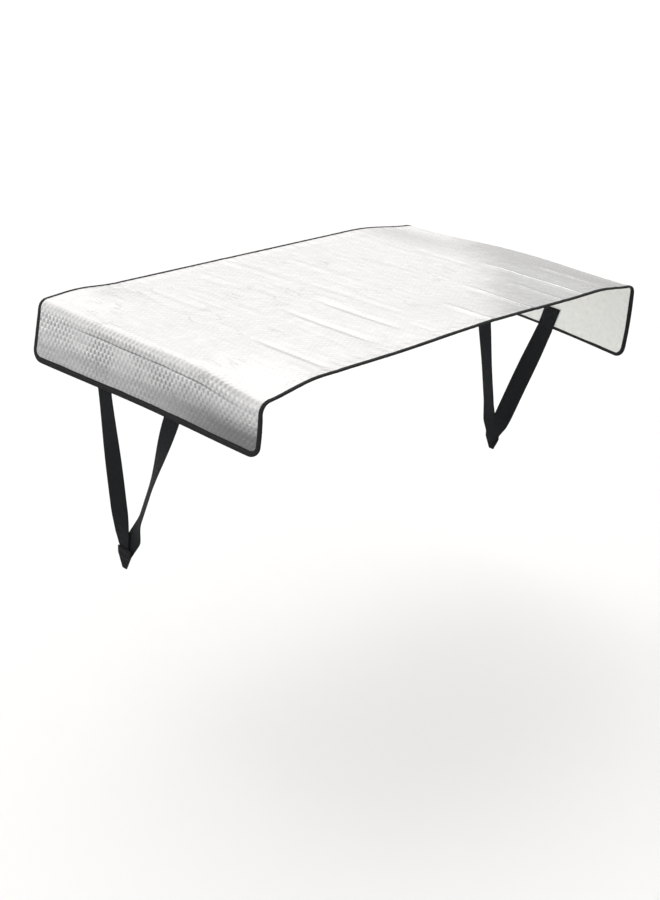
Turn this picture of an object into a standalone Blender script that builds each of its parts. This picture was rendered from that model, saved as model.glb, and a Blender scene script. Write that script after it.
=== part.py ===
"""Air conditioner cover: a foil sunshade that lies on top and bends down at both ends.

One rectangle of aluminised bubble foil is bound with black tape, and a V of webbing hangs from each bent
end. Every piece is laid out on the flat cloth, as it would be cut, and then draped by one function.

Cloth coordinates: u runs along the length (left is negative), t along the depth (front is negative)
and n stands off the middle of the sheet (outwards is positive). World: +X right, +Y back, +Z up, in
metres. The origin is under the middle of the top, on the face that rests on what the cover shades.
"""
import math

import bmesh
import bpy
from mathutils import Vector

# Sheet
DEPTH = 0.470
SHEET = 0.0018
LEFT_LENGTH = 0.478
RIGHT_LENGTH = 0.513
CORNER_RADIUS = 0.018
SKEW = 0.0035

# Edge binding
TAPE = 0.0004
SIDE_LIP = 0.0045
FLAP_LIP = 0.0062
END_LIPS = {"left": 0.0084, "right": 0.0048}
LIP_WIDENS = (0.370, 0.420)
GAP = 0.0003
RISE_RUN = 0.012

# Straps
WEBBING = 0.0015
SEAT = 0.0006
STRAP_WIDTH = 0.030
SEWN_LENGTH = 0.042
JOGGLE_START = 0.012
JOGGLE_LENGTH = 0.010
TAPER_HEIGHT = 0.040

# Mesh steps
FILL_STEP = 0.036
BEND_STEPS = 6
CORNER_STEPS = 4
DEPTH_ROWS = 16
SEWN_STEPS = 4
STRAP_STEPS = 14
PROBE = 0.0005
SHARP_DEGREES = 40

HALF = DEPTH / 2
OUT = SHEET / 2 + GAP

# Where each end bends down, as (front, back): x of the hanging end, radius of the bend, degrees it
# turns through, and degrees the hanging end curls inwards from there to its edge
ENDS = {
    "left": {"crest": (0.3945, 0.4000), "radius": (0.014, 0.012), "turn": (91, 80), "curl": (-10, 0)},
    "right": {"crest": (0.3925, 0.3900), "radius": (0.012, 0.017), "turn": (88, 83), "curl": (12, -13)},
}

LEAST_CURL = 0.01

# How sooner than evenly each end's turn and curl reach their values for the back
TWIST_POWER = {"left": 1, "right": 3}

# Degrees more that each end turns through in the middle of the depth
BOW = {"left": 4.5, "right": 0}

# Broad rises and dips of the top: where, how far they reach along x and y, and their height
SWELL_COLUMNS = ("x", "y", "reach_x", "reach_y", "height")
SWELLS = [
    (-0.400, -0.235, 0.110, 0.160, -0.013),
    (-0.335, 0.235, 0.070, 0.150, 0.004),
    (0.040, -0.235, 0.220, 0.170, 0.004),
    (0.400, -0.235, 0.110, 0.340, -0.010),
    (0.400, 0.235, 0.170, 0.340, -0.015),
]

# Creases along the depth: u at the front and at the back edge, where each starts and ends along t,
# its half width, and its height, negative for a trough
CREASE_COLUMNS = ("u_front", "u_back", "t_start", "t_end", "width", "height")
CREASES = [
    (-0.4095, -0.4095, -0.235, 0.180, 0.004, -0.0009),
    (-0.2670, -0.2620, -0.250, -0.060, 0.010, -0.0016),
    (-0.1480, -0.1500, -0.230, 0.010, 0.010, -0.0016),
    (-0.0800, -0.0770, -0.190, 0.010, 0.010, -0.0015),
    (0.0440, 0.0797, -0.250, -0.120, 0.007, 0.0012),
    (0.1351, 0.1764, -0.250, -0.070, 0.007, 0.0015),
    (0.2079, 0.2430, -0.250, -0.110, 0.007, 0.0010),
    (0.2588, 0.2693, -0.250, -0.010, 0.007, 0.0018),
    (0.3180, 0.3440, -0.250, -0.060, 0.007, 0.0012),
    (0.4270, 0.4250, -0.220, 0.180, 0.007, 0.0012),
]

CREASE_FADE = 0.3

# Legs of each V: t where the leg is sewn on, in front of or behind the point it runs down to
LEG_TOPS = {"rear": 0.080, "front": -0.062}
POINT_T = 0.037
POINT_DROP = 0.252
POINT_INSET = -0.003
CROSSING = 0.6
TAPER = 0.75

# Degrees that each leg turns about its own length, and the shares of the way down over which it
# turns and turns back
LEG_TURNS = {"rear": -14, "front": 36}
TURNED = 0.50
TURNS_BACK = (0.68, 0.88)

# Tab over the point of each V: heights above the point, with its half width at each
TIP_OUTLINE = ((0.022, 0.015), (0.011, 0.015), (-0.010, 0.005))

COLORS = {
    "foil": ((0.78, 0.79, 0.81, 1), 0.38, 0.75),
    "binding": ((0.012, 0.012, 0.014, 1), 0.80, 0.0),
    "webbing": ((0.016, 0.016, 0.019, 1), 0.85, 0.0),
}


def lerp(a, b, share):
    return a + (b - a) * share


def smooth(share):
    share = min(max(share, 0.0), 1.0)
    return share * share * (3 - 2 * share)


def hump(distance):
    """1 in the middle, falling softly to 0 one reach away."""
    return math.cos(math.pi / 2 * min(abs(distance), 1.0)) ** 2


def back_share(t):
    """0 at the front edge and 1 at the back edge."""
    return (t + HALF) / DEPTH


def swell_height(x, t):
    """Height of the broad rises and dips at a place on the top."""
    height = 0.0
    for values in SWELLS:
        swell = dict(zip(SWELL_COLUMNS, values))
        along = hump((x - swell["x"]) / swell["reach_x"])
        height += swell["height"] * along * hump((t - swell["y"]) / swell["reach_y"])
    return height


def edge_rise(t):
    """How far the top's front and back edges ride up, because the tape's lower lip lies under them."""
    return (GAP + TAPE) * smooth((abs(t) - HALF + SIDE_LIP + RISE_RUN) / RISE_RUN)


def crease_height(u, t):
    """How far the creases lift the sheet off its smooth form."""
    height = 0.0
    for values in CREASES:
        crease = dict(zip(CREASE_COLUMNS, values))
        middle = lerp(crease["u_front"], crease["u_back"], back_share(t))
        fade = CREASE_FADE * (crease["t_end"] - crease["t_start"])
        start = smooth((t - crease["t_start"]) / fade)
        end = smooth((crease["t_end"] - t) / fade)
        height += crease["height"] * hump((u - middle) / crease["width"]) * start * end
    return height


def smooth_form(u, t):
    """Middle of the sheet at (u, t), before the creases."""
    along = u - SKEW * t / HALF
    side = "left" if along < 0 else "right"
    share = back_share(t)
    end = {name: lerp(*values, share) for name, values in ENDS[side].items()}
    twisted = 1 - (1 - share) ** TWIST_POWER[side]
    end.update({name: lerp(*ENDS[side][name], twisted) for name in ("turn", "curl")})
    end["turn"] += BOW[side] * hump(2 * share - 1)
    turn, curl = math.radians(end["turn"]), math.radians(end["curl"] or LEAST_CURL)
    length = LEFT_LENGTH if side == "left" else RIGHT_LENGTH
    sign = -1 if side == "left" else 1
    reach = abs(along)
    flat = end["crest"] - end["radius"]
    bend = end["radius"] * turn
    hang = length - flat - bend
    if reach <= flat:
        x, drop, hung = reach, 0.0, 0.0
    elif reach <= flat + bend:
        angle = (reach - flat) / end["radius"]
        x = flat + end["radius"] * math.sin(angle)
        drop = end["radius"] * (1 - math.cos(angle))
        hung = 0.0
    else:
        down = reach - flat - bend
        angle = turn + curl * down / hang
        x = flat + end["radius"] * math.sin(turn) + hang / curl * (math.sin(angle) - math.sin(turn))
        drop = end["radius"] * (1 - math.cos(turn)) + hang / curl * (math.cos(turn) - math.cos(angle))
        hung = down / hang
    lift = (swell_height(sign * x, t) + edge_rise(t)) * (1 - smooth(hung))
    return Vector((sign * x, t, SHEET / 2 + lift - drop))


def normal(u, t):
    """Outward direction of the smooth form."""
    along = smooth_form(u + PROBE, t) - smooth_form(u - PROBE, t)
    across = smooth_form(u, t + PROBE) - smooth_form(u, t - PROBE)
    return along.cross(across).normalized()


def drape(u, t, n=0.0):
    """Place a point of the flat cloth in the world."""
    return smooth_form(u, t) + normal(u, t) * (n + crease_height(u, t))


def half_depth(u):
    """Half the cloth's depth at u, less where the corners are rounded."""
    from_end = (u + LEFT_LENGTH) if u < 0 else (RIGHT_LENGTH - u)
    inside = max(CORNER_RADIUS - from_end, 0.0)
    return HALF - CORNER_RADIUS + math.sqrt(max(CORNER_RADIUS**2 - inside**2, 0.0))


def side_lip(u):
    """Width of the tape's lips along a long side: narrow on the top and wider on the hanging ends."""
    start, end = LIP_WIDENS
    return lerp(SIDE_LIP, FLAP_LIP, smooth((abs(u) - start) / (end - start)))


def corner_steps():
    """Distances from an end at which the rounded corner turns by equal steps."""
    quarter = math.pi / 2 / CORNER_STEPS
    return [CORNER_RADIUS * (1 - math.cos(k * quarter)) for k in range(CORNER_STEPS + 1)]


def stations():
    """Lines across the cloth, each as its u at the front and at the back, from left to right."""
    lines = [(-LEFT_LENGTH + d, -LEFT_LENGTH + d) for d in corner_steps()]
    lines += [(RIGHT_LENGTH - d, RIGHT_LENGTH - d) for d in corner_steps()]
    for sign, side in ((-1, "left"), (1, "right")):
        crest, radius = (sum(ENDS[side][name]) / 2 for name in ("crest", "radius"))
        for step in range(BEND_STEPS + 1):
            u = sign * (crest - radius + radius * math.pi / 2 * step / BEND_STEPS)
            lines.append((u, u))
    for values in CREASES:
        crease = dict(zip(CREASE_COLUMNS, values))
        for side in (-1, 0, 1):
            offset = side * crease["width"]
            lines.append((crease["u_front"] + offset, crease["u_back"] + offset))
    lines.sort(key=sum)
    filled = []
    for line, after in zip(lines, lines[1:]):
        count = math.ceil((after[0] - line[0]) / FILL_STEP)
        for step in range(count):
            share = step / count
            filled.append((lerp(line[0], after[0], share), lerp(line[1], after[1], share)))
    return filled + [lines[-1]]


def depth_rows():
    """Rows along the depth, as shares of half the depth, with one at each foot of the edges' rise."""
    edge = 1 - SIDE_LIP / HALF
    foot = edge - RISE_RUN / HALF
    inner = [lerp(-foot, foot, k / (DEPTH_ROWS - 1)) for k in range(DEPTH_ROWS)]
    return [-1.0, -edge] + inner + [edge, 1.0]


def material(name):
    """Principled material with the piece's colour, roughness and metallic value."""
    color, roughness, metallic = COLORS[name]
    found = bpy.data.materials.get(name) or bpy.data.materials.new(name)
    found.use_nodes = True
    shader = found.node_tree.nodes["Principled BSDF"]
    shader.inputs["Base Color"].default_value = color
    shader.inputs["Roughness"].default_value = roughness
    shader.inputs["Metallic"].default_value = metallic
    found.diffuse_color = color
    return found


def add_object(name, mesh, finish, parts):
    """Put a finished mesh in the parts collection, shaded smooth between its hard edges."""
    mesh.materials.append(material(finish))
    mesh.shade_smooth()
    mesh.set_sharp_from_angle(angle=math.radians(SHARP_DEGREES))
    piece = bpy.data.objects.new(name, mesh)
    parts.objects.link(piece)
    return piece


def grid_mesh(name, rows):
    """Open surface through equal rows of points."""
    shape = bmesh.new()
    verts = [[shape.verts.new(point) for point in row] for row in rows]
    for row, after in zip(verts, verts[1:]):
        for k in range(len(row) - 1):
            shape.faces.new((row[k], after[k], after[k + 1], row[k + 1]))
    mesh = bpy.data.meshes.new(name)
    shape.to_mesh(mesh)
    shape.free()
    return mesh


def ring_mesh(name, sections):
    """Closed ring through equal closed sections."""
    shape = bmesh.new()
    verts = [[shape.verts.new(point) for point in section] for section in sections]
    for section, after in zip(verts, verts[1:] + verts[:1]):
        for k in range(len(section)):
            step = (k + 1) % len(section)
            shape.faces.new((section[k], section[step], after[step], after[k]))
    bmesh.ops.recalc_face_normals(shape, faces=shape.faces)
    mesh = bpy.data.meshes.new(name)
    shape.to_mesh(mesh)
    shape.free()
    return mesh


def thicken(piece, thickness):
    """Give an open surface its thickness, half on each side."""
    solid = piece.modifiers.new("thickness", "SOLIDIFY")
    solid.thickness = thickness
    solid.offset = 0.0
    return piece


def make_sheet(parts):
    """The foil sheet, one solid from edge to edge."""
    rows = []
    for u_front, u_back in stations():
        row = []
        for share in depth_rows():
            t = share * half_depth((u_front + u_back) / 2)
            row.append(drape(lerp(u_front, u_back, back_share(t)), t))
        rows.append(row)
    sheet = add_object("foil_sheet", grid_mesh("foil_sheet", rows), "foil", parts)
    return thicken(sheet, SHEET)


def edge_points():
    """The cloth's outline, as edge point and point one lip further in, once round."""
    start, end = -LEFT_LENGTH + CORNER_RADIUS, RIGHT_LENGTH - CORNER_RADIUS
    lines = [line for line in stations() if start < sum(line) / 2 < end]
    outline = []
    for u_front, u_back in lines:
        inner = HALF - side_lip(u_front)
        inside = lerp(u_front, u_back, back_share(-inner))
        outline.append(((u_front, -HALF), (inside, -inner)))
    outline += corner_points(end, -HALF + CORNER_RADIUS, -90)
    for share in depth_rows()[1:-1]:
        t = share * (HALF - CORNER_RADIUS)
        outline.append(((RIGHT_LENGTH, t), (RIGHT_LENGTH - END_LIPS["right"], t)))
    outline += corner_points(end, HALF - CORNER_RADIUS, 0)
    for u_front, u_back in reversed(lines):
        inner = HALF - side_lip(u_back)
        inside = lerp(u_front, u_back, back_share(inner))
        outline.append(((u_back, HALF), (inside, inner)))
    outline += corner_points(start, HALF - CORNER_RADIUS, 90)
    for share in reversed(depth_rows()[1:-1]):
        t = share * (HALF - CORNER_RADIUS)
        outline.append(((-LEFT_LENGTH, t), (-LEFT_LENGTH + END_LIPS["left"], t)))
    outline += corner_points(start, -HALF + CORNER_RADIUS, 180)
    return outline


def corner_points(u, t, first_angle):
    """Outline points round one corner, whose centre is (u, t)."""
    points = []
    end_lip = END_LIPS["left" if u < 0 else "right"]
    for step in range(CORNER_STEPS + 1):
        angle = math.radians(first_angle + 90 * step / CORNER_STEPS)
        ray = (math.cos(angle), math.sin(angle))
        edge = CORNER_RADIUS
        inside = edge - lerp(FLAP_LIP, end_lip, ray[0] ** 2)
        points.append(((u + edge * ray[0], t + edge * ray[1]), (u + inside * ray[0], t + inside * ray[1])))
    return points


def make_binding(parts):
    """The tape, folded in a U over the sheet's edge all the way round."""
    shell = OUT + TAPE
    soft = TAPE / 2
    sections = []
    for edge, inside in edge_points():
        edge, inside = Vector(edge), Vector(inside)
        away = (edge - inside).normalized()
        floor = edge + away * GAP
        shoulder = floor + away * (TAPE - soft)
        nose = floor + away * TAPE
        profile = [
            (inside, -OUT), (floor, -OUT), (floor, OUT), (inside, OUT),
            (inside, shell), (shoulder, shell), (nose, shell - soft),
            (nose, soft - shell), (shoulder, -shell), (inside, -shell),
        ]
        sections.append([drape(place.x, place.y, n) for place, n in profile])
    return add_object("edge_binding", ring_mesh("edge_binding", sections), "binding", parts)


def sewn_line(side, t, below):
    """Middle of a strap behind the hanging end, from its sewn top down to the cloth's edge."""
    length = LEFT_LENGTH if side == "left" else RIGHT_LENGTH
    sign = -1 if side == "left" else 1
    over_lip = smooth((END_LIPS[side] + JOGGLE_START - below) / JOGGLE_LENGTH)
    n = -(SHEET / 2 + SEAT + WEBBING / 2) - over_lip * (GAP + TAPE)
    return smooth_form(sign * (length - below), t) + normal(sign * (length - below), t) * n


def strap_point(side):
    """The point of the V, where both legs end."""
    edge = sewn_line(side, POINT_T, 0.0)
    inward = 1 if side == "left" else -1
    return edge + Vector((inward * POINT_INSET, 0, -POINT_DROP))


def turned(share):
    """How much of its turn a leg has at a share of the way down to the point."""
    start, end = TURNS_BACK
    return smooth(share / TURNED) * (1 - smooth((share - start) / (end - start)))


def make_leg(side, place, parts):
    """One webbing leg: sewn behind the hanging end, then straight down to the point of the V."""
    inward = 1 if side == "left" else -1
    lean = (POINT_T - LEG_TOPS[place]) / POINT_DROP
    width = STRAP_WIDTH * math.sqrt(1 + lean * lean)
    rows = []
    for step in range(SEWN_STEPS + 1):
        below = SEWN_LENGTH * (1 - step / SEWN_STEPS)
        t = LEG_TOPS[place] - lean * below
        rows.append([sewn_line(side, t + width * share, below) for share in (-0.5, 0.0, 0.5)])
    top = sewn_line(side, LEG_TOPS[place], 0.0)
    layer = (WEBBING + SEAT) * inward * (place == "front")
    point = strap_point(side)
    taper_from = 1 - TAPER_HEIGHT / POINT_DROP
    for step in range(STRAP_STEPS):
        share = (step + 1) / STRAP_STEPS
        middle = top.lerp(point, share) + Vector((layer * smooth(share / CROSSING), 0, 0))
        half = width / 2 * (1 - TAPER * max(share - taper_from, 0) / (1 - taper_from))
        turn = math.radians(LEG_TURNS[place]) * turned(share)
        wide = Vector((inward * math.sin(turn), math.cos(turn), 0)) * half
        rows.append([middle + wide * across for across in (-1, 0, 1)])
    name = f"strap_{side}_{place}"
    leg = add_object(name, grid_mesh(name, rows), "webbing", parts)
    return thicken(leg, WEBBING)


def make_tip(side, parts):
    """The tab sewn over the crossing of the two legs, pointed at the bottom."""
    inward = 1 if side == "left" else -1
    point = strap_point(side)
    upwards = sewn_line(side, LEG_TOPS["rear"], 0.0) - point
    lean = upwards.x / upwards.z
    rows = []
    for height, half in TIP_OUTLINE:
        middle = point + Vector((lean * height - inward * (WEBBING + GAP), 0, height))
        rows.append([middle + Vector((0, half * across, 0)) for across in (-1, 0, 1)])
    name = f"tip_{side}"
    tip = add_object(name, grid_mesh(name, rows), "webbing", parts)
    return thicken(tip, WEBBING)


def main():
    for old in list(bpy.data.objects):
        bpy.data.objects.remove(old, do_unlink=True)
    parts = bpy.data.collections.new("air_conditioner_cover")
    bpy.context.scene.collection.children.link(parts)
    make_sheet(parts)
    make_binding(parts)
    for side in ENDS:
        for place in LEG_TOPS:
            make_leg(side, place, parts)
        make_tip(side, parts)


main()
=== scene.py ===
"""Looks of the air conditioner cover: embossed foil, sewn edge tape and webbing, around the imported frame.

Cloth coordinates, as in the frame's own solids: u along the length (left is negative), t along the
depth (front is negative) and n off the middle of the sheet (outwards is positive). drape() lays any
point of the flat cloth in the world. +X is right, +Y is back and +Z is up, in metres.
"""
import math
import random

import bmesh
import bpy
import numpy as np
from mathutils import Matrix

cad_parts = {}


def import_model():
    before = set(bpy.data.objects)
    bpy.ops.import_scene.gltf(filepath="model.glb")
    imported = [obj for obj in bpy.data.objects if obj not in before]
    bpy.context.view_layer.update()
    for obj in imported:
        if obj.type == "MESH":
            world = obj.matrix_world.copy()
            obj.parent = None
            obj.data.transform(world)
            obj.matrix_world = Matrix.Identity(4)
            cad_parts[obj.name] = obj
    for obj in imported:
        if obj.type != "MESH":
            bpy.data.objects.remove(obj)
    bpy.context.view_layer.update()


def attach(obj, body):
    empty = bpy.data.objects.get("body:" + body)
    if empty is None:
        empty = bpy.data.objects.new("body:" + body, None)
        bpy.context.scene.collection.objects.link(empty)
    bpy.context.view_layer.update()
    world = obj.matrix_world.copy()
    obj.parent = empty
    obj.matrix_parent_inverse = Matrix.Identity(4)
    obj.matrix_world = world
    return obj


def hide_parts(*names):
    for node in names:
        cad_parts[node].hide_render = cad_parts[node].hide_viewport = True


# The cut sheet, its tape and its straps, in the frame's own sizes
DEPTH = 0.470
SHEET = 0.0018
LEFT_LENGTH = 0.478
RIGHT_LENGTH = 0.513
LENGTHS = {"left": LEFT_LENGTH, "right": RIGHT_LENGTH}
INWARD = {"left": 1, "right": -1}
CORNER_RADIUS = 0.018
SKEW = 0.0035
TAPE = 0.0004
SIDE_LIP = 0.0045
FLAP_LIP = 0.0062
END_LIPS = {"left": 0.0084, "right": 0.0048}
LIP_WIDENS = (0.370, 0.420)
LIP_BLEND = 0.010
GAP = 0.0003
RISE_RUN = 0.012
WEBBING = 0.0015
SEAT = 0.0006
STRAP_WIDTH = 0.030
SEWN_LENGTH = 0.042
JOGGLE_START = 0.012
JOGGLE_LENGTH = 0.010
TAPER_HEIGHT = 0.040
HALF = DEPTH / 2

# Where each end bends down, as (front, back): x of the hanging end, radius of the bend, degrees it
# turns through, and degrees the hanging end curls inwards from there to its edge
ENDS = {
    "left": {"crest": (0.3945, 0.4000), "radius": (0.014, 0.012), "turn": (91, 80), "curl": (-10, 0)},
    "right": {"crest": (0.3925, 0.3900), "radius": (0.012, 0.017), "turn": (88, 83), "curl": (12, -13)},
}
LEAST_CURL = 0.01

# How much sooner than evenly each end's turn and curl reach their values for the back
TWIST_POWER = {"left": 1, "right": 3}

# Degrees more that each end turns through in the middle of the depth
BOW = {"left": 4.5, "right": 0}

# Broad rises and dips of the top: x, y, reach along x, reach along y, height
SWELLS = [
    (-0.400, -0.235, 0.110, 0.160, -0.013),
    (-0.335, 0.235, 0.070, 0.150, 0.004),
    (0.040, -0.235, 0.220, 0.170, 0.004),
    (0.400, -0.235, 0.110, 0.340, -0.010),
    (0.400, 0.235, 0.170, 0.340, -0.015),
]

# Creases along the depth: u at the front edge, u at the back edge, start and end along t, half
# width, and height, negative for a trough
MAIN_CREASES = [
    (-0.4095, -0.4095, -0.235, 0.180, 0.004, -0.0009),
    (-0.2670, -0.2620, -0.250, -0.060, 0.010, -0.0016),
    (-0.1480, -0.1500, -0.230, 0.010, 0.010, -0.0016),
    (-0.0800, -0.0770, -0.190, 0.010, 0.010, -0.0015),
    (0.0440, 0.0797, -0.250, -0.120, 0.007, 0.0012),
    (0.1351, 0.1764, -0.250, -0.070, 0.007, 0.0015),
    (0.2079, 0.2430, -0.250, -0.110, 0.007, 0.0010),
    (0.2588, 0.2693, -0.250, -0.010, 0.007, 0.0018),
    (0.3180, 0.3440, -0.250, -0.060, 0.007, 0.0012),
    (0.4270, 0.4250, -0.220, 0.180, 0.007, 0.0012),
]
CREASE_FADE = 0.3

# Finer creases: how many, how far from the hems they keep, how far before the front and back edges
# they start at the least and the most, and the ranges of their length, height, slant and half width
FINE_CREASE_COUNT = 46
FINE_CREASE_MARGIN = 0.03
FINE_CREASE_LEADS = (0.04, 0.12)
FINE_CREASE_LENGTHS = (0.07, 0.26)
FINE_CREASE_HEIGHTS = (0.00015, 0.0005)
FINE_CREASE_SLANT = 0.014
FINE_CREASE_WIDTHS = (0.005, 0.011)

# Legs of each V, and t where each is sewn on
LEG_TOPS = {"rear": 0.080, "front": -0.062}

# Point of each V: its t, how far it lies below the hem, and how far inwards of it
POINT_T = 0.037
POINT_DROP = 0.252
POINT_INSET = -0.003

# Share of the way down by which the front leg lies inwards of the rear one, and the share of its width
# that each leg loses towards the point
CROSSING = 0.6
TAPER = 0.75

# Degrees that each leg turns about its own length, and the shares of the way down over which it
# turns and turns back
LEG_TURNS = {"rear": -14, "front": 36}
TURNED = 0.50
TURNS_BACK = (0.68, 0.88)

# Tab over the point of each V: heights above the point, with its half width at each
TIP_OUTLINE = ((0.022, 0.015), (0.011, 0.015), (-0.010, 0.005))

# Embossed bubbles: pitch along the depth, pitch of their rows along the length, height, share that
# leans one way, and length and depth of their uneven patches
DOT_T = 0.0084
DOT_U = 0.0073
DOT_RELIEF = 0.00012
DIAGONAL = 0.57
PATCH_LENGTH = 0.060
PATCHINESS = 0.35

# How flat the bubbles and how calm the finest relief are on the top, and how far from the middle both
# start to rise and are full
PRESSED = 0.20
CALM = 0.25
PRESSED_ENDS = (0.380, 0.414)

# Run from the tape's lip to the full relief, and the crumples' height, length and how much less than
# the bubbles they are pressed
CLEAR_RUN = 0.006
CRUMPLE_HEIGHT = 0.00020
CRUMPLE_LENGTH = 0.022
CRUMPLE_POWER = 0.6

# Lower part of the left end: where the bubbles are crushed and the share of them that is left, how
# much painted shade darkens the foil there, and where more painted shade falls, as u and t at which
# that starts and is full and as the shares that t adds
CRUSHED = (-0.436, -0.452)
CRUSHED_RELIEF = 0.60
HEM_SHADE = 0.34
LEFT_SHADE_U = (-0.414, -0.440)
LEFT_SHADE_T = (0.040, -0.200)
LEFT_SHADE_SHARES = (0.06, 0.64)

# Where painted light makes the left end paler, as u, and painted shade the right end darker, as u less t
HANGING_LIGHT = (-0.390, -0.408)
RIGHT_SHADE = (0.225, 0.365)

# Where a painted highlight makes the foil paler again at the back of the right bend, as u and as t
CREST_HIGHLIGHT_U = (0.30, 0.37)
CREST_HIGHLIGHT_T = (0.05, 0.15)

# Thin sharp lines along creases, pale ones painted highlights on ridges and dark ones painted shade in
# troughs: u at the front and back edges, start and end along t, half width, and how strong they are,
# negative for a dark line
LINES = [
    (-0.4095, -0.4095, -0.235, 0.200, 0.0021, -1.00),
    (0.0439, 0.0797, -0.260, -0.130, 0.0012, 0.55),
    (0.1351, 0.1764, -0.260, -0.075, 0.0013, 0.80),
    (0.2079, 0.2430, -0.260, -0.110, 0.0011, 0.45),
    (0.2588, 0.2693, -0.260, -0.005, 0.0017, 1.00),
    (0.3180, 0.3440, -0.250, -0.080, 0.0013, 0.70),
]

# Puckers beside the tape: how far in they reach and from where, their spacing, height and swing
PUCKER_REACH = 0.026
PUCKER_START = 0.007
PUCKER_PITCH = 0.017
PUCKER_HEIGHT = 0.0007
PUCKER_SWING = 0.55

# Random waves: how many are summed, how much their lengths vary, and the seed of each use
WAVES = 14
WAVE_SPREAD = (0.7, 1.6)
SEEDS = {"patches": 5, "creases": 11, "puckers": 23, "crumples": 31, "wander": 41, "bulges": 43}

# Tape as sewn: play over the foil, angle in radians at which its fold starts and points of the fold,
# height and length of its bulges with how far they sink, and how much its edges wander
TAPE_PLAY = 0.00008
FOLD_START = 0.35
FOLD_POINTS = 7
BULGE = 0.00008
BULGE_LENGTH = 0.012
DEEPEST_BULGE = -0.00005
WANDER = 0.00025
WANDER_LENGTH = 0.055

# Webbing's face: cords across it with their height on legs and tabs, and how thin its edges get
RIB_COUNT = 9
LEG_RIBS = 0.00008
TAB_RIBS = 0.00005
EDGE_THINNING = 0.55

# Tape's seam, and how far a thread's middle lies over the cloth and over the foil outside a box
STITCH_PITCH = 0.0040
STITCH_LENGTH = 0.0030
THREAD_RADIUS = 0.00020
SEAM_SHARE = 0.62
THREAD_REST = 0.00012
FOIL_THREAD_REST = 0.00025

# Box of stitches on each leg's top: least and most distance from the hem, half width as a share of
# the leg's, pitch, and share of it that one stitch covers
BOX_LOW = 0.014
BOX_HIGH = 0.038
BOX_REACH = 0.36
BOX_PITCH = 0.0036
BOX_STITCH_SHARE = 0.75

# Zigzags on each tab: heights over the point, half height, span and pitch
TACK_LEVELS = (0.0165, 0.0065)
TACK_RISE = 0.0012
TACK_SPAN = 0.022
TACK_PITCH = 0.0011

# Mesh steps
PROBE = 0.0005
CORNER_STEPS = 7
COUNT_U = 272
COUNT_T = 112
TAPE_STEP = 0.0045
STRAP_COLUMNS = 24
SEWN_STEPS = 14
STRAP_STEPS = 60
TAB_STEPS = 18
THREAD_SIDES = 5

# View of the photograph
CAMERA_PLACE = (-1.5439, -1.4871, 0.6755)
CAMERA_YAW = -45.44
CAMERA_PITCH = 23.65
CAMERA_ROLL = 2.60
LENS = 59.6
SENSOR = 36.0

FLOOR_Z = -0.575
FLOOR_SIZE = 60

# Light of the wall behind, at its left and at its right, and of the room in front, low and high, with
# the parts of the ray's direction between which each changes from one value to the other
WALL_LOW = (1.85, 1.12)
WALL_LOW_SIDES = (-0.50, 0.30)
WALL_HIGH = (1.55, 2.50)
WALL_HIGH_SIDES = (-0.75, 0.15)
WALL_LIFT = (0.13, 0.38)
WALL_START = (0.10, 0.55)
ROOM_LIGHT = (0.45, 0.85)
ROOM_HEIGHT = (0.0, 0.8)
LIGHT_COLOR = (1.0, 0.99, 0.975, 1)

# Weak soft light from above: strength, spread and tilt in degrees
KEY_ENERGY = 0.5
KEY_SPREAD = 60
KEY_TILT = (-18, 24)

# Weaves: pitch of the tape's crossing and long threads, and of the webbing's chevrons, twill and cords
WEFT_PITCH = 0.0010
WARP_PITCH = 0.0013
CHEVRON_PITCH = 0.0038
TWILL_PITCH = 0.0017
CORD_PITCH = 0.0009

# Height in metres of each surface's finest relief
FOIL_BUMP = 0.00055
TAPE_BUMP = 0.00012
WEBBING_BUMP = 0.00016
THREAD_BUMP = 0.00006

# Colours, where a pair holds the darker and the paler tone of one surface
FOIL_TONES = ((0.375, 0.375, 0.38, 1), (0.412, 0.407, 0.402, 1))
# Painted light: the left hanging end in paler tones, for how it is lit
HANGING_LIGHT_TONES = ((0.50, 0.505, 0.515, 1), (0.64, 0.64, 0.645, 1))
# Painted highlight at the back of the right bend
CREST_HIGHLIGHT_COLOR = (0.51, 0.51, 0.515, 1)
# Painted shade over the right end
RIGHT_SHADE_COLOR = (0.225, 0.225, 0.23, 1)
# Painted shade between the bubbles
VALLEY_SHADE_COLOR = (0.18, 0.185, 0.19, 1)
# Painted shade on the lower left end and in the dark crease line
DEEP_SHADE_COLOR = (0.15, 0.15, 0.155, 1)
# Painted shade along the creases
CREASE_SHADE_COLOR = (0.22, 0.225, 0.23, 1)
# Painted highlight along the pale crease lines
RIDGE_HIGHLIGHT_COLOR = (0.74, 0.74, 0.735, 1)
INSIDE_COLOR = (0.84, 0.845, 0.82, 1)
TAPE_TONES = ((0.005, 0.005, 0.006, 1), (0.017, 0.018, 0.020, 1))
WEBBING_TONES = ((0.005, 0.005, 0.006, 1), (0.018, 0.020, 0.023, 1))
BLACK_THREAD_TONES = ((0.010, 0.010, 0.011, 1), (0.045, 0.045, 0.050, 1))
SILVER_THREAD_TONES = ((0.36, 0.37, 0.38, 1), (0.62, 0.63, 0.64, 1))
FLOOR_COLOR = (0.78, 0.78, 0.78, 1)


def lerp(a, b, share):
    return a + (b - a) * share


def smooth(share):
    share = np.clip(share, 0.0, 1.0)
    return share * share * (3 - 2 * share)


def hump(distance):
    """1 in the middle, falling softly to 0 one reach away."""
    return np.cos(math.pi / 2 * np.minimum(np.abs(distance), 1.0)) ** 2


def unit(vectors):
    return vectors / np.linalg.norm(vectors, axis=-1, keepdims=True)


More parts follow.
